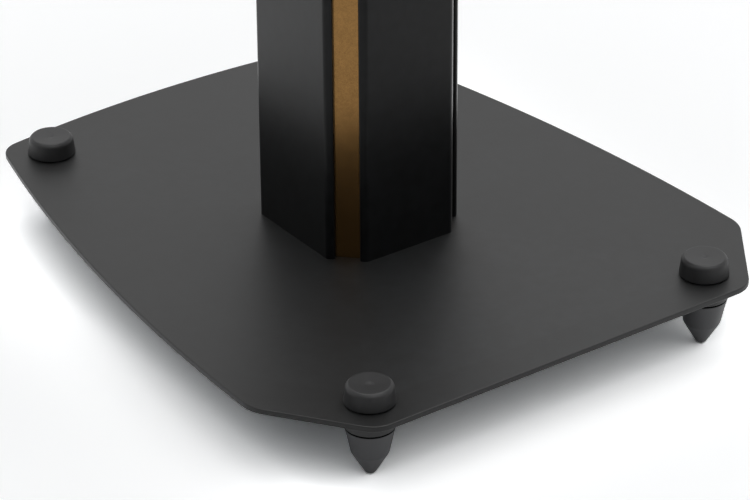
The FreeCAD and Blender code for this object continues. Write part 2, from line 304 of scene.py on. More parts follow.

# %% [markdown]
# ## Satin black powder coat
# The plates, the collars and the pillar are sprayed with dry powder that melts in an oven into a
# tough skin. The melt never levels quite flat: it keeps a fine orange peel, lumps under a
# millimetre wide and a few thousandths deep, which is what turns a mirror into a soft sheen. Powder
# draws back from sharp edges, so there it is thinner and a little lighter, and the same lighter
# edge is also a painted highlight along the rounded rims.

# %% Powder coat
PEEL_DEPTH = 0.002
CLOUD = 34.0
SPECK = 0.5
PATCH = 6.0
EDGE_FROM, EDGE_TO = 0.52, 0.62


def powder_coat(name, base, worn_and_highlit, sheen, peel=0.9, ior=1.5):
    """Powder coat: near-black, satin, with orange peel, faint clouds and lighter edges.

    The refractive index ior says how strongly the film mirrors what lies straight before it.
    """
    material, tree, shader, places = new_material(name)
    clouds, specks, patches, lumps = [
        add(tree, NOISE, {"Vector": places, "Scale": PER_MM / size, "Detail": detail})
        for size, detail in ((CLOUD, 3.0), (SPECK, 1.0), (PATCH, 3.0), (peel, 1.0))]
    # Edges come out lighter: partly the thinner powder there, partly a painted highlight along
    # rounded rims.
    edge = add(tree, "ShaderNodeNewGeometry", {}, output="Pointiness")
    thin_and_highlit_edge = add(tree, RANGE, {"Value": edge, "From Min": EDGE_FROM, "From Max": EDGE_TO})
    patchy = add(tree, RANGE, {"Value": patches, **MIDDLE, "To Min": 0.25})
    edge_wear_and_highlight = add(tree, MATH, {0: thin_and_highlit_edge, 1: patchy}, operation="MULTIPLY")
    fleck = add(tree, RANGE, {"Value": specks, **MIDDLE, "To Max": 0.1})
    amount = add(tree, MATH, {0: edge_wear_and_highlight, 1: fleck}, operation="MAXIMUM")
    colour = {"Factor": amount, FIRST: paint(base), SECOND: paint(worn_and_highlit)}
    satin = {"Value": clouds, **MIDDLE, "To Min": sheen, "To Max": sheen + 0.015}
    plug(shader, {
        "Base Color": add(tree, MIX, colour, MIXED, data_type="RGBA"),
        "Roughness": add(tree, RANGE, satin),
        "Normal": add(tree, BUMP, {"Height": lumps, "Distance": PEEL_DEPTH * MM}),
        "IOR": ior})
    return material


plate_coat = powder_coat("satin_powder_coat_on_steel", "020202", "161718", 0.45, ior=1.47)
pillar_coat = powder_coat("satin_powder_coat_on_extrusion", "010101", "101112", 0.3, ior=1.3)
print("finishes:", plate_coat.name, pillar_coat.name)

# %% [markdown]
# ## Plan outlines
# Both plates have the same plan: a straight front edge, two clipped corners, bowed sides and a
# bowed rear edge. Every edge is taken as an arc, and a straight one is an arc of an enormous
# radius, so that one rule rounds every corner: the rounding circle's middle lies at the arc's
# radius less its own from both arcs' middles.

# %% A closed outline of arcs with rounded corners
STRAIGHT = 1.0e6


def arc_middle(a, b, radius):
    """Middle of the arc from a to b that bulges to the right of the way from a to b."""
    chord = b - a
    half = np.hypot(*chord) / 2
    inward = np.array([-chord[1], chord[0]]) / (2 * half)
    return (a + b) / 2 + inward * math.sqrt(radius ** 2 - half ** 2)


def crossing(first, first_radius, second, second_radius, near):
    """Where two circles cross, the one nearest a given point."""
    way = second - first
    gap = np.hypot(*way)
    along = (first_radius ** 2 - second_radius ** 2 + gap ** 2) / (2 * gap)
    across = math.sqrt(first_radius ** 2 - along ** 2)
    foot = first + way * along / gap
    side = np.array([-way[1], way[0]]) * across / gap
    return min((foot + side, foot - side), key=lambda p: np.hypot(*(p - near)))


def outline(corners, rounds, bows, arc_steps=24, round_steps=8):
    """Points and outward directions along a closed anticlockwise outline.

    An edge point is its arc's middle + radius * direction, and so is a corner point, with the
    rounding circle's middle. A support point SUPPORT mm from each end keeps flats shaded flat.
    """
    corners = [np.array(corner, float) for corner in corners]
    count = len(corners)
    middles = [arc_middle(corners[i], corners[(i + 1) % count], bows[i]) for i in range(count)]
    rings = []
    for i, corner in enumerate(corners):
        if rounds[i] == 0:
            rings.append((corner, corner, corner))
            continue
        before, after = middles[i - 1], middles[i]
        centre = crossing(before, bows[i - 1] - rounds[i], after, bows[i] - rounds[i], corner)
        first = before + (centre - before) * bows[i - 1] / (bows[i - 1] - rounds[i])
        last = after + (centre - after) * bows[i] / (bows[i] - rounds[i])
        rings.append((centre, first, last))
    points, normals = [], []
    for i in range(count):
        centre, first, last = rings[i]
        if rounds[i]:
            start = math.atan2(*(first - centre)[::-1])
            turn = (math.atan2(*(last - centre)[::-1]) - start) % (2 * math.pi)
            angle = start + turn * np.linspace(0, 1, round_steps + 1)
            ways = np.column_stack([np.cos(angle), np.sin(angle)])
            points.append(centre + rounds[i] * ways)
            normals.append(ways)
        else:
            points.append(last[None])
            normals.append(np.zeros((1, 2)))
        following = rings[(i + 1) % count][1]
        length = np.hypot(*(following - last))
        margin = min(SUPPORT / length, 0.3)
        inner = np.linspace(margin, 1 - margin, 2 if bows[i] == STRAIGHT else arc_steps)
        chord = last + (following - last) * inner[:, None]
        ways = chord - middles[i]
        ways /= np.linalg.norm(ways, axis=1)[:, None]
        points.append(middles[i] + bows[i] * ways)
        normals.append(ways)
    return np.concatenate(points), np.concatenate(normals)


# %% The two plans
def plan(front, half_width, front_half, clip_run, side_bow, rear_bow, rear, rounds):
    """Outline of a plate; its rear corners are where the side arcs meet the rear arc.

    rounds are the radii at the ends of the front edge, where a clipped end meets the side, and at
    the rear.
    """
    clip_end = np.array([half_width, front + clip_run])
    side_middle = clip_end - [side_bow, 0]
    rear_middle = np.array([0, rear - rear_bow])
    corner = crossing(side_middle, side_bow, rear_middle, rear_bow, np.array([half_width, rear]))
    mirror = np.array([-1, 1])
    corners = [(-front_half, front), (front_half, front), clip_end, corner, corner * mirror,
               clip_end * mirror]
    front_round, side_round, rear_round = rounds
    radii = [front_round, front_round, side_round, rear_round, rear_round, side_round]
    bows = [STRAIGHT, STRAIGHT, side_bow, rear_bow, side_bow, STRAIGHT]
    return outline(corners, radii, bows)


base_plan = plan(front=base_low[1], half_width=148.7, front_half=111.8, clip_run=50.1,
                 side_bow=1114.0, rear_bow=657.0, rear=base_high[1], rounds=(15.0, 20.0, 13.0))
top_plan = plan(front=top_low[1], half_width=92.0, front_half=68.0, clip_run=32.0,
                side_bow=640.0, rear_bow=385.0, rear=top_high[1], rounds=(9.5, 12.5, 10.0))
print("points in the base's outline:", len(base_plan[0]))

# %% [markdown]
# ## The two plates
# Each plate is 3 mm sheet, cut by laser and then tumbled, which leaves a small rounded rim. The
# rim is a quarter circle above and below, carried along the outline; the two faces are filled
# between the rim and the holes. Holes for the screws are countersunk from the outer face.

# %% Plate skins
RIM = 0.5
SCREW_HEAD = 5.0
SCREW_SHANK = 2.5
THREAD_GAP = 0.05
STUD_HOLE = 4.25
HOLE_EDGE = 0.12


def rim_profile(bottom, top, steps=5):
    """Outset and height round a plate's rim: flat margin, quarter circle, wall, and back."""
    angle = np.linspace(0, math.pi / 2, steps + 1)
    lower = np.column_stack([-RIM + RIM * np.sin(angle), bottom + RIM - RIM * np.cos(angle)])
    upper = np.column_stack([-RIM + RIM * np.cos(angle), top - RIM + RIM * np.sin(angle)])
    margin = -RIM - SUPPORT
    return np.concatenate([[[margin, bottom]], lower, upper, [[margin, top]]])


def plate_surfaces(path, bottom, top, holes):
    """Rim, both faces and the holes' walls; a hole is (centre, profile from bottom to top)."""
    points, normals = path
    inner = points - normals * (RIM + SUPPORT)
    surfaces = [swept(points, normals, rim_profile(bottom, top))]
    for z, row in ((bottom, 0), (top, -1)):
        rings = [circle(centre, profile[row][0]) for centre, profile in holes]
        surfaces.append(filled([inner] + rings, at_height(z)))
    surfaces += [turned(profile, centre, around=48) for centre, profile in holes]
    return surfaces


def sunk_hole(face, other):
    """Countersunk hole: a cone from the head's edge at face to the shank, then straight on."""
    way = 1 if other > face else -1
    shank = SCREW_SHANK + THREAD_GAP
    neck = face + way * (SCREW_HEAD - shank)
    profile = [(SCREW_HEAD + HOLE_EDGE, face), (SCREW_HEAD, face + way * HOLE_EDGE), (shank, neck),
               (shank, other)]
    return profile if way == 1 else profile[::-1]


screw_low, screw_high = node_box("base_screws")
screw_x = screw_high[0] - SCREW_HEAD
screw_ys = (screw_low[1] + SCREW_HEAD, screw_high[1] - SCREW_HEAD)
screws = [(x, y) for x in (-screw_x, screw_x) for y in screw_ys]


def middle(node):
    """Plan middle of a solid."""
    low, high = node_box(node)
    return (low + high)[:2] / 2


feet = {corner: middle("foot_stud_" + corner) for corner in CORNERS}
stud_hole = [(STUD_HOLE, base_low[2]), (STUD_HOLE, base_high[2])]
stud_holes = [(centre, stud_hole) for centre in feet.values()]
base_holes = [(centre, sunk_hole(base_low[2], base_high[2])) for centre in screws]
top_holes = [(centre, sunk_hole(top_high[2], top_low[2])) for centre in screws]
piece("base_plate", plate_surfaces(base_plan, base_low[2], base_high[2], base_holes + stud_holes),
      plate_coat)
piece("top_plate", plate_surfaces(top_plan, top_low[2], top_high[2], top_holes),
      plate_coat)

# %% [markdown]
# ## The pillar
# The pillar is one aluminium extrusion: pushed through a die like toothpaste, so that its section
# is the same from end to end. Each corner is clipped and holds a groove with an undercut slot for
# the strip. The corners here are clipped a little less than the solid's, as the picture shows them,
# and the recess is deeper by as much, so that the strip stays in its solid's place. A section is a
# closed outline, and the skin is that outline carried straight up. Only the rear wall differs,
# because two slots for cable are milled through it: that flat is filled round the slots.

# %% The section at one corner
CLIP_LEG = 14.6
SHOULDER = 3.0
LIP = 1.2
MOUTH = 12.5
RECESS = 2.895
SLOT_WIDTH = 15.3
SLOT_DEPTH = 2.3
WALL = 2.5
PORT = 5.5
PORT_INSET = 3.0
CLIP_FACE = CLIP_LEG * math.sqrt(2)
INNER_DEPTH = RECESS + SLOT_DEPTH + WALL

half = (pillar_high - pillar_low)[:2] / 2
centre = (pillar_high + pillar_low)[:2] / 2
SIGNS = {"rear_left": (-1, 1), "front_left": (-1, -1),
         "front_right": (1, -1), "rear_right": (1, 1)}


def on_corner(corner, places):
    """Places (along, depth) on a clipped corner's face, turned and moved to that corner."""
    out = np.array(SIGNS[corner]) / math.sqrt(2)
    along = np.array([-out[1], out[0]])
    face = centre + np.array(SIGNS[corner]) * (half - CLIP_LEG / 2)
    places = np.asarray(places, float)
    return face + places[:, :1] * along - places[:, 1:] * out


half_groove = [(CLIP_FACE / 2, 0, SHOULDER), (MOUTH / 2, 0, LIP), (MOUTH / 2, RECESS, 0),
               (SLOT_WIDTH / 2, RECESS, 0), (SLOT_WIDTH / 2, RECESS + SLOT_DEPTH, 0)]
whole_groove = np.array([(-a, d, r) for a, d, r in half_groove] + half_groove[::-1])
outer_corners = np.concatenate([on_corner(corner, whole_groove[:, :2]) for corner in SIGNS])
outer_rounds = list(whole_groove[:, 2]) * len(SIGNS)
outer, _ = outline(outer_corners, outer_rounds, [STRAIGHT] * len(outer_rounds), round_steps=7)

port_depth = INNER_DEPTH + PORT_INSET
start = -math.asin(PORT_INSET / PORT)
swing = np.linspace(start, math.pi - start, 17)
bulge = np.column_stack([-PORT * np.cos(swing), port_depth + PORT * np.sin(swing)])
inner_clip = math.sqrt(2) * (CLIP_LEG + INNER_DEPTH * math.sqrt(2) - 2 * WALL)
ends = np.array([(-inner_clip / 2, INNER_DEPTH), (inner_clip / 2, INNER_DEPTH)])
hollow_corner = np.concatenate([ends[:1], bulge, ends[1:]])
hollow = np.concatenate([on_corner(corner, hollow_corner) for corner in SIGNS])
ports = [on_corner(corner, [(0, port_depth)])[0] for corner in SIGNS]
print("points in the section:", len(outer), "outside,", len(hollow), "inside")

# %% Upright skins and the milled rear wall
GROMMET_FLANGE = 3.0


def obround(width, height, middle_z, steps=16):
    """Flat-sided slot outline and its outward directions, in x and z: two half circles."""
    angle = np.linspace(0, math.pi, steps + 1)
    ways = np.column_stack([np.cos(angle), np.sin(angle)])
    rise = (height - width) / 2
    upper = ways * width / 2 + [0, rise]
    lower = -ways * width / 2 - [0, rise]
    return np.concatenate([upper, lower]) + [0, middle_z], np.concatenate([ways, -ways])


def upright(loop, bottom, top, closed=True):
    """A section carried straight up: the same flat points at two heights."""
    rows = [np.column_stack([loop, np.full(len(loop), z)]) for z in (bottom, top)]
    return grid(np.stack(rows), closed=closed)


def open_at_rear(loop, rear):
    """Rolls a loop so that its longest run along the rear lies between its last and first point."""
    following = np.roll(loop, -1, axis=0)
    at_rear = (abs(loop[:, 1] - rear) < WELD / MM) & (abs(following[:, 1] - rear) < WELD / MM)
    longest = np.argmax(np.hypot(*(following - loop).T) * at_rear)
    return np.roll(loop, -longest - 1, axis=0)


low_z, high_z = pillar_low[2], pillar_high[2]
grommets = [node_box("cable_grommet_" + place) for place in ("lower", "upper")]
slot_size = [(high - low)[[0, 2]] - 2 * GROMMET_FLANGE for low, high in grommets]
slots = [obround(*size, (low + high)[2] / 2)[0] for size, (low, high) in zip(slot_size, grommets)]
rear_walls = {centre[1] + half[1]: outer, centre[1] + half[1] - WALL: hollow}
pillar_surfaces = []
for rear, loop in rear_walls.items():
    loop = open_at_rear(loop, rear)
    pillar_surfaces.append(upright(loop, low_z, high_z, closed=False))
    right, left = loop[-1][0], loop[0][0]
    wall = np.array([(left, low_z), (right, low_z), (right, high_z), (left, high_z)])
    pillar_surfaces.append(filled([wall] + slots, at_depth(rear)))
outer_rear, inner_rear = rear_walls
for slot in slots:
    rows = [at_depth(y)(slot) for y in (inner_rear, outer_rear)]
    pillar_surfaces.append(grid(np.stack(rows), closed=True))
port_rings = [circle(port, SCREW_SHANK + THREAD_GAP, around=24) for port in ports]
for ring in port_rings:
    pillar_surfaces.append(upright(ring, low_z, high_z))
for z in (low_z, high_z):
    pillar_surfaces.append(filled([outer, hollow] + port_rings, at_height(z)))
piece("pillar", pillar_surfaces, pillar_coat)

# %% [markdown]
# ## Bronze corner strips
# Each strip is a flat aluminium bar, lacquered in a bronze metallic: tiny metal flakes in a clear
# brown film. The flakes lie nearly flat, so the strip mirrors its surroundings softly, and each
# flake turns the light a little its own way, which reads as a fine grain. A metal shader gives the
# mirror, and small cells of slightly different tint give the flakes.

# %% Metallic lacquer
FLAKE = 0.7
FLAKE_TILT = 0.003
MOTTLE = 5.0


def metallic_lacquer(name, light, dark):
    """Bronze metallic: a metal tinted by fine flakes and by soft, larger mottles."""
    material, tree, shader, places = new_material(name)
    cells = add(tree, "ShaderNodeTexVoronoi", {"Vector": places, "Scale": PER_MM / FLAKE}, "Color")
    flakes = add(tree, "ShaderNodeSeparateColor", {"Color": cells})
    mottle = add(tree, NOISE, {"Vector": places, "Scale": PER_MM / MOTTLE, "Detail": 4.0})
    soft = add(tree, RANGE, {"Value": mottle, **MIDDLE, "To Max": 0.3})
    amount = add(tree, MATH, {0: flakes, 1: 0.4, 2: soft}, operation="MULTIPLY_ADD")
    colour = {"Factor": amount, FIRST: paint(light), SECOND: paint(dark)}
    grain = add(tree, NOISE, {"Vector": places, "Scale": PER_MM / FLAKE, "Detail": 2.0})
    plug(shader, {
        "Base Color": add(tree, MIX, colour, MIXED, data_type="RGBA"),
        "Roughness": add(tree, RANGE, {"Value": flakes, "To Min": 0.21, "To Max": 0.27}),
        "Normal": add(tree, BUMP, {"Height": grain, "Distance": FLAKE_TILT * MM}),
        "Metallic": 1.0})
    return material


bronze = metallic_lacquer("bronze_metallic_lacquer", "957144", "7b5c36")

# %% Strip skins
STRIP_EDGE = 0.25


def bar_section(width, thickness, edge, steps=4):
    """Half sizes of a bar's section, its corners rounded: a closed outline about the middle."""
    w, t = width / 2, thickness / 2
    corners = [(-w, -t), (w, -t), (w, t), (-w, t)]
    return outline(corners, [edge] * 4, [STRAIGHT] * 4, round_steps=steps)


def end_profile(bottom, top, edge, steps=4):
    """Inset and height along a bar, its two ends rounded over."""
    angle = np.linspace(0, math.pi / 2, steps + 1)
    lower = np.column_stack([edge * (np.sin(angle) - 1), bottom + edge * (1 - np.cos(angle))])
    upper = np.column_stack([edge * (np.cos(angle) - 1), top - edge * (1 - np.sin(angle))])
    return np.concatenate([lower, upper])


STRIP_WIDTH = 15.0
STRIP_THICKNESS = 2.0
STRIP_DEPTH = RECESS + SLOT_DEPTH / 2
section, ways = bar_section(STRIP_WIDTH, STRIP_THICKNESS, STRIP_EDGE)
for corner in CORNERS:
    low, high = node_box("corner_strip_" + corner)
    profile = end_profile(low[2], high[2], STRIP_EDGE)
    wall_points, wall_faces = swept(section, ways, profile)
    wall_points[:, :2] = on_corner(corner, wall_points[:, :2] + [0, STRIP_DEPTH])
    ends = []
    for inset, z in profile[[0, -1]]:
        rim = on_corner(corner, section + ways * inset + [0, STRIP_DEPTH])
        ends.append(filled([rim], at_height(z)))
    piece("corner_strip_" + corner, [(wall_points, wall_faces)] + ends, bronze)

# %% [markdown]
# ## Countersunk screws
# Each plate is held by four M5 screws with a hexagon socket, blackened in an oxide bath. Seen on
# the face, the head is a disc with a six-sided hole: rings of points that start round and turn
# six-sided. A hexagon's radius at an angle is its flat-to-flat half width over the cosine of the
# angle from the nearest flat's middle.

# %% Black oxide
BLOTCH = 1.6


def black_oxide(name):
    """Oxide-blackened steel: dark, slightly uneven, with the rub marks of the driver."""
    material, tree, shader, places = new_material(name)
    blotches = add(tree, NOISE, {"Vector": places, "Scale": PER_MM / BLOTCH, "Detail": 4.0})
    amount = add(tree, RANGE, {"Value": blotches, **MIDDLE})
    colour = {"Factor": amount, FIRST: paint("141415"), SECOND: paint("2a2a2c")}
    plug(shader, {
        "Base Color": add(tree, MIX, colour, MIXED, data_type="RGBA"),
        "Roughness": add(tree, RANGE, {"Value": blotches, "To Min": 0.34, "To Max": 0.5}),
        "Metallic": 0.6})
    return material


oxide = black_oxide("black_oxide_steel")

# %% Screw skins
SOCKET_HALF = 1.5
SOCKET_DEPTH = 1.6
SOCKET_EDGE = 0.15
SCREW_LENGTH = 22.0
SCREW_TIP = 0.5


def screw(place, face, way, around=48):
    """One screw: rings of (round radius, share of hexagon, depth) from the socket to the tip."""
    head, shank, tip = SCREW_HEAD, SCREW_SHANK, SCREW_TIP
    rings = np.array([
        (0, 1, SOCKET_DEPTH + 0.5), (SOCKET_HALF, 1, SOCKET_DEPTH), (SOCKET_HALF, 1, SOCKET_EDGE),
        (SOCKET_HALF + SOCKET_EDGE, 1, 0.0), (2 * SOCKET_HALF, 0, 0.0), (head - 0.2, 0, 0.0),
        (head - 0.06, 0, 0.06), (head, 0, 0.2), (shank, 0, head - shank + 0.1),
        (shank, 0, SCREW_LENGTH - tip), (shank - tip, 0, SCREW_LENGTH), (0, 0, SCREW_LENGTH)])
    angle = np.linspace(0, 2 * math.pi, around, endpoint=False)
    from_flat = (angle % (math.pi / 3)) - math.pi / 6
    stretch = 1 + rings[:, 1:2] * (1 / np.cos(from_flat) - 1)
    height = face + way * rings[:, 2:]
    return grid(around_axis(place, rings[:, :1] * stretch, height, angle), closed=True)


piece("base_screws", [screw(place, base_low[2], 1) for place in screws], oxide)
piece("top_screws", [screw(place, top_high[2], -1) for place in screws], oxide)

# %% [markdown]
# ## Rubber grommets and pads
# The cable slots are lined with moulded rubber, and four rubber discs keep the speaker from
# sliding. Rubber has no gloss of its own: its skin copies the fine texture of the mould, so light
# scatters and it looks a deep, even grey-black with a faint bloom on the edges.

# %% Moulded rubber
RUBBER_GRAIN, RUBBER_DEPTH = 0.8, 0.02
BLOOM = 9.0


def moulded_rubber(name, base, bloom):
    """Moulded rubber: matt, sparked texture of the mould, faint pale bloom in patches."""
    material, tree, shader, places = new_material(name)
    patches = add(tree, NOISE, {"Vector": places, "Scale": PER_MM / BLOOM, "Detail": 4.0})
    amount = add(tree, RANGE, {"Value": patches, **MIDDLE, "To Max": 0.5})
    colour = {"Factor": amount, FIRST: paint(base), SECOND: paint(bloom)}
    grain = add(tree, NOISE, {"Vector": places, "Scale": PER_MM / RUBBER_GRAIN, "Detail": 3.0})
    plug(shader, {
        "Base Color": add(tree, MIX, colour, MIXED, data_type="RGBA"),
        "Roughness": add(tree, RANGE, {"Value": patches, "To Min": 0.6, "To Max": 0.8}),
        "Normal": add(tree, BUMP, {"Height": grain, "Distance": RUBBER_DEPTH * MM}),
        "Specular IOR Level": 0.4})
    return material


rubber = moulded_rubber("moulded_black_rubber", "161617", "222223")

# %% Grommet skins
GROMMET_WALL = 2.0
GROMMET_LIP = 1.2
SOFT_EDGE = 0.45


def rounded_corner(corner, before, after, radius, steps=5):
    """Quarter arc in a profile, where the run from before to after turns at corner."""
    corner, before, after = (np.array(p, float) for p in (corner, before, after))
    back = (before - corner) / np.hypot(*(before - corner))
    on = (after - corner) / np.hypot(*(after - corner))
    angle = np.linspace(0, math.pi / 2, steps + 1)[:, None]
    return corner + radius * (back * (1 - np.sin(angle)) + on * (1 - np.cos(angle)))


def rounded_profile(corners, radius):
    """A closed profile with each corner of the list rounded where its radius isn't zero."""
    runs = []
    for i, corner in enumerate(corners):
        following = corners[(i + 1) % len(corners)]
        if radius[i]:
            runs.append(rounded_corner(corner, corners[i - 1], following, radius[i]))
        else:
            runs.append(np.array([corner], float))
    return np.concatenate(runs)


for place, (low, high) in zip(("lower", "upper"), grommets):
    bore_width, bore_height = (high - low)[[0, 2]] - 2 * (GROMMET_FLANGE + GROMMET_WALL)
    path, ways = obround(bore_width, bore_height, (low + high)[2] / 2)
    sleeve, flange, lip = GROMMET_WALL, GROMMET_WALL + GROMMET_FLANGE, GROMMET_WALL + GROMMET_LIP
    corners = [(0, high[1]), (flange, high[1]), (flange, outer_rear), (sleeve, outer_rear),
               (sleeve, inner_rear), (lip, inner_rear), (lip, low[1]), (0, low[1])]
    rounds = [SOFT_EDGE, SOFT_EDGE, 0, 0, 0, SOFT_EDGE, SOFT_EDGE, SOFT_EDGE]
    profile = rounded_profile(corners, rounds)
    flat = path[None] + ways[None] * profile[:, :1, None]
    depth = np.broadcast_to(profile[:, 1, None], flat.shape[:2])
    ring = np.stack([flat[..., 0], depth, flat[..., 1]], axis=-1)
    skin = grid(ring, closed=True, looped=True)
    piece("cable_grommet_" + place, [skin], rubber)

# %% Pad skins
PAD_ROUND = 0.6
PAD_FOOT = 0.3
for corner in CORNERS:
    low, high = node_box("speaker_pad_" + corner)
    radius, bottom, top = (high - low)[0] / 2, low[2], high[2]
    rounding = rounded_corner((radius, top), (radius, bottom), (0, top), PAD_ROUND, steps=6)
    profile = np.concatenate([
        [(0, bottom), (radius - PAD_FOOT, bottom), (radius, bottom + PAD_FOOT)], rounding,
        [(radius - PAD_ROUND - SUPPORT, top), (0, top)]])
    piece("speaker_pad_" + corner, [turned(profile, middle("speaker_pad_" + corner))],
          rubber)

# %% [markdown]
# ## Levelling feet
# Each foot is a stack on one stud: a cap nut above the plate, a thin washer, then a collar below
# the plate, a rubber ring, and the spike that stands on the floor. The spike turns on the stud and
# climbs or drops with the thread. All but the thread are lathe shapes, so each is one profile
# carried round the foot's axis. Below the ring a gap of a hair is left, in which the spike turns.

# %% Moulded cap, coated spike, dark plastic and zinc
HANDLED = 4.0
SPARK, SPARK_DEPTH = 0.6, 0.006
SPANGLE = 1.2


def moulded_plastic(name, base, light, rough, shine=0.5):
    """Moulded plastic: satin, fine spark texture, lighter where hands have rubbed it."""
    material, tree, shader, places = new_material(name)
    handled = add(tree, NOISE, {"Vector": places, "Scale": PER_MM / HANDLED, "Detail": 3.0})
    amount = add(tree, RANGE, {"Value": handled, **MIDDLE, "To Max": 0.45})
    colour = {"Factor": amount, FIRST: paint(base), SECOND: paint(light)}
    grain = add(tree, NOISE, {"Vector": places, "Scale": PER_MM / SPARK, "Detail": 1.0})
    plug(shader, {
        "Base Color": add(tree, MIX, colour, MIXED, data_type="RGBA"),
        "Roughness": add(tree, RANGE, {"Value": handled, "To Min": rough, "To Max": rough + 0.1}),
        "Normal": add(tree, BUMP, {"Height": grain, "Distance": SPARK_DEPTH * MM}),
        "Specular IOR Level": shine})
    return material


def zinc_plate(name):
    """Zinc plated steel: bright, bluish, with a fine uneven grain."""
    material, tree, shader, places = new_material(name)
    spangle = add(tree, NOISE, {"Vector": places, "Scale": PER_MM / SPANGLE, "Detail": 4.0})
    colour = {"Factor": spangle, FIRST: paint("b4b6b8"), SECOND: paint("9a9c9e")}
    plug(shader, {
        "Base Color": add(tree, MIX, colour, MIXED, data_type="RGBA"),
        "Roughness": add(tree, RANGE, {"Value": spangle, "To Min": 0.26, "To Max": 0.4}),
        "Metallic": 1.0})
    return material


cap_plastic = moulded_plastic("moulded_satin_plastic", "141415", "1e1e1f", 0.48)
# Near-black and almost without gloss, so that the washer and the ring draw thin black lines under
# the cap and the collar.
dark_plastic = moulded_plastic("moulded_dark_plastic", "020202", "050505", 0.8, shine=0.05)
# The spike's coat is its own dark grey, made lighter by painted light that stands in for light from
# the bright floor.
spike_coat_with_painted_light = powder_coat("satin_coat_on_turned_spike_with_painted_light", "3c3c3e", "4c4d4f", 0.42, peel=0.7)
collar_coat = powder_coat("satin_coat_on_turned_collar", "202021", "343536", 0.42, peel=0.7)
zinc = zinc_plate("zinc_plated_steel")

# %% Profiles of the foot's pieces
BORE = 4.05
RING_BORE = 4.3
CAP_SHOULDER = (11.5, 7.8)
CAP_TOP = 10.1
CAP_RIM = 1.0
CAP_DISH = 0.5
CAP_DIMPLE = (2.2, 0.5)
CAP_ROUNDS = {3: 0.3, 4: 0.9, 5: 0.45, 6: 0.5, 7: 0.4}
KINK = (9.3, 13.5)
TIP = 3.6
CONE_ROUNDS = {1: 0.8, 2: 0.5}


def soften(profile, rounds, steps=6):
    """Rounds corners of a lathe profile, given as {number of the corner: reach along both sides}.

    The curve is (1-t)^2 * start + 2t(1-t) * corner + t^2 * end, for t from 0 to 1.
    """
    profile = [np.array(p, float) for p in profile]
    made = [profile[0][None]]
    t = np.linspace(0, 1, steps + 1)[:, None]
    for i in range(1, len(profile) - 1):
        corner, reach = profile[i], rounds.get(i, 0)
        if not reach:
            made.append(corner[None])
            continue
        back, on = profile[i - 1] - corner, profile[i + 1] - corner
        begin = corner + back * reach / np.hypot(*back)
        end = corner + on * reach / np.hypot(*on)
        made.append((1 - t) ** 2 * begin + 2 * t * (1 - t) * corner + t ** 2 * end)
    made.append(profile[-1][None])
    return np.concatenate(made)


def cap_profile(low, high, bore_top):
    """The cap: bore, foot, tapered wall, sloping shoulder, flat rim, dish and dimple."""
    radius = (high - low)[0] / 2
    bottom, top = low[2], high[2]
    dish = top - CAP_DISH
    shoulder = (CAP_SHOULDER[0], bottom + CAP_SHOULDER[1])
    corners = [(0, bore_top), (BORE, bore_top), (BORE, bottom), (radius, bottom), shoulder,
               (CAP_TOP, top), (CAP_TOP - CAP_RIM, top), (CAP_DIMPLE[0], dish),
               (0, dish - CAP_DIMPLE[1])]
    return soften(corners, CAP_ROUNDS)


def ring_profile(low, high, inner, edge, lift=0.0):
    """A plain ring with its outer edges softened; it starts and ends at the same point."""
    outer, bottom, top = (high - low)[0] / 2, low[2] + lift, high[2]
    start = (inner, (bottom + top) / 2)
    corners = [start, (inner, bottom), (outer, bottom), (outer, top), (inner, top), start]
    return soften(corners, {2: edge, 3: edge})


def cone_profile(low, high, bore_bottom):
    """The spike: round tip, steep flank to the kink, gentler flank, top face and blind bore."""
    rise = high[2] - KINK[1] - TIP
    reach = math.hypot(KINK[0], rise)
    angle = math.atan2(rise, KINK[0]) - math.acos(TIP / reach)
    swing = np.linspace(-math.pi / 2, angle, 9)
    tip = np.column_stack([TIP * np.cos(swing), low[2] + TIP + TIP * np.sin(swing)])
    radius = (high - low)[0] / 2
    corners = [tip[-1], (KINK[0], high[2] - KINK[1]), (radius, high[2]), (BORE, high[2]),
               (BORE, bore_bottom), (0, bore_bottom)]
    return np.concatenate([tip[:-1], soften(corners, CONE_ROUNDS)])


# %% The stud's thread
LEAD = 1.25
THREAD_DEPTH = 0.7
STUD_CHAMFER = 0.8


def thread(centre, radius, bottom, top, around=48, step=0.15):
    """A right-hand screw thread: the radius dips as a point leaves the crest.

    radius less depth * |2 * share - 1|, where share is the fraction of height / lead - angle /
    whole turn. A chamfer takes the crest away near both ends.
    """
    height = np.linspace(bottom, top, int((top - bottom) / step))[:, None]
    angle = np.linspace(0, 2 * math.pi, around, endpoint=False)[None]
    share = (height / LEAD - angle / (2 * math.pi)) % 1.0
    crest = radius - THREAD_DEPTH * abs(2 * share - 1)
    end = np.minimum(height - bottom, top - height)
    crest = np.minimum(crest, radius - STUD_CHAMFER + end)
    first, last = [around_axis(centre, 0.0, z, angle) for z in (bottom, top)]
    wall = around_axis(centre, crest, height, angle)
    return grid(np.concatenate([first, wall, last]), closed=True)


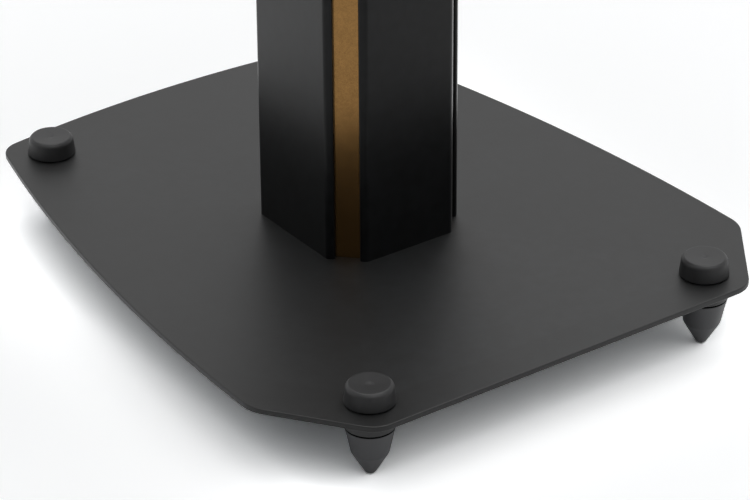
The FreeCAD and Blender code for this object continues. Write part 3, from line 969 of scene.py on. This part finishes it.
# %% Four feet
CAP_BORE_PAST_STUD = 0.5
BORE_PAST_STUD = 1.5
WASHER_EDGE, COLLAR_EDGE, RING_EDGE = 0.15, 0.3, 0.2
HAIR = 0.02
KINDS = ("cap", "washer", "collar", "stud", "ring", "cone")
for corner, place in feet.items():
    nodes = {kind: f"foot_{kind}_{corner}" for kind in KINDS}
    boxes = {kind: node_box(node) for kind, node in nodes.items()}
    (_, _, stud_bottom), (_, _, stud_top) = boxes["stud"]
    stud_radius = (boxes["stud"][1] - boxes["stud"][0])[0] / 2
    cap = cap_profile(*boxes["cap"], stud_top + CAP_BORE_PAST_STUD)
    washer = ring_profile(*boxes["washer"], RING_BORE, WASHER_EDGE)
    collar = ring_profile(*boxes["collar"], BORE, COLLAR_EDGE)
    ring = ring_profile(*boxes["ring"], RING_BORE, RING_EDGE, lift=HAIR)
    cone = cone_profile(*boxes["cone"], stud_bottom - BORE_PAST_STUD)
    stud = thread(place, stud_radius, stud_bottom, stud_top)
    piece(nodes["cap"], [turned(cap, place)], cap_plastic)
    piece(nodes["washer"], [turned(washer, place)], dark_plastic)
    piece(nodes["collar"], [turned(collar, place)], collar_coat)
    piece(nodes["stud"], [stud], zinc)
    piece(nodes["ring"], [turned(ring, place)], dark_plastic, "ring_" + corner)
    piece(nodes["cone"], [turned(cone, place)], spike_coat_with_painted_light, "spike_" + corner)

# %% [markdown]
# ## Floor, backdrop and light
# The stand is shown as in a product picture: on a white sweep, in light that comes softly from all
# round. The floor is a wide disc whose own colour is a plain pale grey. To the camera it is
# brighter, as an overexposed sheet of paper is, and the gain is largest in the deep shadow under
# the plate and fades outwards. In the gloss of the coats it is brighter too, though less so on the
# right and towards the lens, which is a painted falloff of light. The sky does two jobs. As a lamp
# it shines mostly from overhead, so that the plate throws a soft shadow, and low down it is
# slightly blue. In mirrors it is white, with a brighter box overhead, which draws the thin light
# lines along rounded edges, and it is dimmer towards the lens and to the right, where the
# photographer stands and a wall lies further off. Directions are those of the room, so they stay
# where they are when the camera moves.

# %% White sky
FLOOR_RADIUS = 6000.0
FLOOR_COLOUR = "e6e6e6"
SHADE_GAIN, OPEN_GAIN = 2.8, 1.32
SHADE_INSET, SHADE_FADE = 15.0, 21.0
MIRRORED_GAIN = 1.95
RIGHT_SIDE, RIGHT_SHARE = (0.58, -0.81, 0.0), 0.75
LENS_SIDE, LENS_SHARE = (-0.81, -0.58, 0.0), 0.65
SKY_RIGHT_SHARE, SKY_LENS_SHARE = 0.55, 0.2
SKY_FROM, SKY_RIGHT_TO, SKY_LENS_TO = 0.2, 1.0, 0.9
RIGHT_FROM, RIGHT_TO = -250.0, 350.0
LENS_FROM, LENS_TO = 0.0, 200.0
BOX_FROM, BOX_TO, BOX_GAIN = 0.75, 0.92, 4.0
OVERHEAD = 2.2
LAMP_WAY = (0.10, -0.13, 0.986)
LOW_TINT, HIGH_TINT = (0.88, 0.975, 1.06, 1.0), (1.0, 1.0, 1.0, 1.0)
LOW_UNTIL = 0.8


def dim_side(tree, spot, side, start, end, share):
    """Brightness that sinks from 1 at start to a share at end, measured towards one side."""
    across = add(tree, VECTOR_MATH, {0: spot, 1: side}, "Value", operation="DOT_PRODUCT")
    sink = {"Value": across, "From Min": start, "From Max": end, "To Min": 1.0, "To Max": share}
    return add(tree, RANGE, sink)


def white_sky(name):
    """White all round in mirrors; as a lamp it shines mostly from overhead.

    Its light on matt surfaces is (power + 2) / 2 * height ^ power, where height is the sine of
    the direction's elevation: on level ground that adds up to the same as an even white sky.
    """
    sky = bpy.data.worlds.new(name)
    sky.use_nodes = True
    tree = sky.node_tree
    way = add(tree, "ShaderNodeTexCoord", {}, "Generated")
    facing = add(tree, VECTOR_MATH, {0: way, 1: LAMP_WAY}, "Value", operation="DOT_PRODUCT")
    lifted = add(tree, MATH, {0: facing, 1: 0.0}, operation="MAXIMUM")
    steep = add(tree, MATH, {0: lifted, 1: OVERHEAD}, operation="POWER")
    lamp = add(tree, MATH, {0: steep, 1: (OVERHEAD + 2) / 2}, operation="MULTIPLY")
    matt = add(tree, "ShaderNodeLightPath", {}, "Is Diffuse Ray")
    to_right = dim_side(tree, way, RIGHT_SIDE, SKY_FROM, SKY_RIGHT_TO, SKY_RIGHT_SHARE)
    to_lens = dim_side(tree, way, LENS_SIDE, SKY_FROM, SKY_LENS_TO, SKY_LENS_SHARE)
    box = add(tree, RANGE, {"Value": lifted, "From Min": BOX_FROM, "From Max": BOX_TO,
                            "To Min": 1.0, "To Max": BOX_GAIN})
    mirrored = add(tree, MATH, {0: to_right, 1: to_lens}, operation="MULTIPLY")
    mirrored = add(tree, MATH, {0: mirrored, 1: box}, operation="MULTIPLY")
    low = add(tree, RANGE, {"Value": lifted, "From Max": LOW_UNTIL, "To Min": 1.0, "To Max": 0.0})
    tint = add(tree, MATH, {0: low, 1: matt}, operation="MULTIPLY")
    colour = {"Factor": tint, FIRST: HIGH_TINT, SECOND: LOW_TINT}
    strength = {"Factor": matt, LESS: mirrored, MORE: lamp}
    plug(tree.nodes["Background"], {
        "Color": add(tree, MIX, colour, MIXED, data_type="RGBA"),
        "Strength": add(tree, MIX, strength, data_type="FLOAT")})
    sky.cycles.sampling_method = "NONE"
    return sky


bpy.context.scene.world = white_sky("white_sky")

# %% White floor
def white_floor(name):
    """Pale floor; its colour is multiplied where a lens or a gloss sees it, so that it is white.

    For the lens the gain is OPEN_GAIN + (SHADE_GAIN - OPEN_GAIN) * e ^ (-distance / SHADE_FADE),
    where distance is measured outwards from a box SHADE_INSET mm inside the plate's.
    """
    material = bpy.data.materials.new(name)
    material.use_nodes = True
    tree = material.node_tree
    tree.nodes.remove(tree.nodes["Principled BSDF"])
    seen = add(tree, "ShaderNodeLightPath", {}, "Is Camera Ray")
    glossed = add(tree, "ShaderNodeLightPath", {}, "Is Glossy Ray")
    places = add(tree, "ShaderNodeTexCoord", {}, "Object")
    half_plate = tuple(((base_high - SHADE_INSET) * MM)[:2]) + (1.0,)
    apart = add(tree, VECTOR_MATH, {0: places}, operation="ABSOLUTE")
    apart = add(tree, VECTOR_MATH, {0: apart, 1: half_plate}, operation="SUBTRACT")
    apart = add(tree, VECTOR_MATH, {0: apart, 1: (0, 0, 0)}, operation="MAXIMUM")
    apart = add(tree, VECTOR_MATH, {0: apart}, "Value", operation="LENGTH")
    fade = add(tree, MATH, {0: apart, 1: -1 / (SHADE_FADE * MM)}, operation="MULTIPLY")
    fade = add(tree, MATH, {0: fade}, operation="EXPONENT")
    seen_gain = add(tree, MATH, {0: fade, 1: SHADE_GAIN - OPEN_GAIN, 2: OPEN_GAIN},
                    operation="MULTIPLY_ADD")
    # Painted light falloff: in gloss the floor's colour grows darker to the right and towards the
    # lens.
    to_right = dim_side(tree, places, RIGHT_SIDE, RIGHT_FROM * MM, RIGHT_TO * MM, RIGHT_SHARE)
    to_lens = dim_side(tree, places, LENS_SIDE, LENS_FROM * MM, LENS_TO * MM, LENS_SHARE)
    mirrored = add(tree, MATH, {0: to_right, 1: MIRRORED_GAIN}, operation="MULTIPLY")
    mirrored = add(tree, MATH, {0: mirrored, 1: to_lens}, operation="MULTIPLY")
    gain = add(tree, MIX, {"Factor": glossed, LESS: 1.0, MORE: mirrored}, data_type="FLOAT")
    gain = add(tree, MIX, {"Factor": seen, LESS: gain, MORE: seen_gain}, data_type="FLOAT")
    colour = add(tree, VECTOR_MATH, {0: paint(FLOOR_COLOUR)[:3], "Scale": gain}, operation="SCALE")
    diffuse = add(tree, "ShaderNodeBsdfDiffuse", {"Color": colour})
    plug(tree.nodes["Material Output"], {"Surface": diffuse})
    return material


def disc(radius, rings=12):
    """A flat disc: rings of points whose radius grows with the square of the ring's number."""
    reach = radius * np.linspace(0, 1, rings) ** 2
    return turned(np.column_stack([reach, np.zeros(rings)]), (0, 0))


points, faces = disc(FLOOR_RADIUS)
floor_mesh = bpy.data.meshes.new("floor")
floor_mesh.from_pydata((points * MM).tolist(), [], faces.tolist())
floor_mesh.materials.append(white_floor("white_floor"))
floor = bpy.data.objects.new("floor", floor_mesh)
bpy.context.scene.collection.objects.link(floor)
floor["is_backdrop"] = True

# %% [markdown]
# ## Camera
# The picture was taken from the front left, looking down, with a long lens: the plate's edges
# hardly draw together. The place, the two turns, the roll and the lens were worked out so that
# the plate, the feet and the pillar land where the picture shows them.

# %% A long lens from the front left
SENSOR = 36.0
LENS = 166.860
LOOK_AT = np.array([24.687, 17.912, 0.0])
DISTANCE = 1809.019
YAW, PITCH, ROLL = 0.619594, 0.510741, -0.006273

level = np.array([math.sin(YAW), math.cos(YAW), 0.0])
forward = level * math.cos(PITCH) - np.array([0, 0, math.sin(PITCH)])
right = np.array([math.cos(YAW), -math.sin(YAW), 0.0])
up = np.cross(right, forward)
rolled_right = right * math.cos(ROLL) + up * math.sin(ROLL)
rolled_up = up * math.cos(ROLL) - right * math.sin(ROLL)
place = (LOOK_AT - forward * DISTANCE) * MM
turn = np.column_stack([rolled_right, rolled_up, -forward])
camera_data = bpy.data.cameras.new("camera")
camera_data.sensor_width = SENSOR
camera_data.sensor_fit = "HORIZONTAL"
camera_data.lens = LENS
camera = bpy.data.objects.new("camera", camera_data)
camera.matrix_world = Matrix.Translation(place) @ Matrix(turn.tolist()).to_4x4()
bpy.context.scene.collection.objects.link(camera)
bpy.context.scene.camera = camera
bpy.context.scene.view_settings.view_transform = "Standard"
print("camera at", (place / MM).round(0), "lens", LENS)

# %% Keep both boxes, and finish
visual_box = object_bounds()
boxes = {name: [list(corner) for corner in box]
         for name, box in (("cad", cad_box), ("visual", visual_box))}
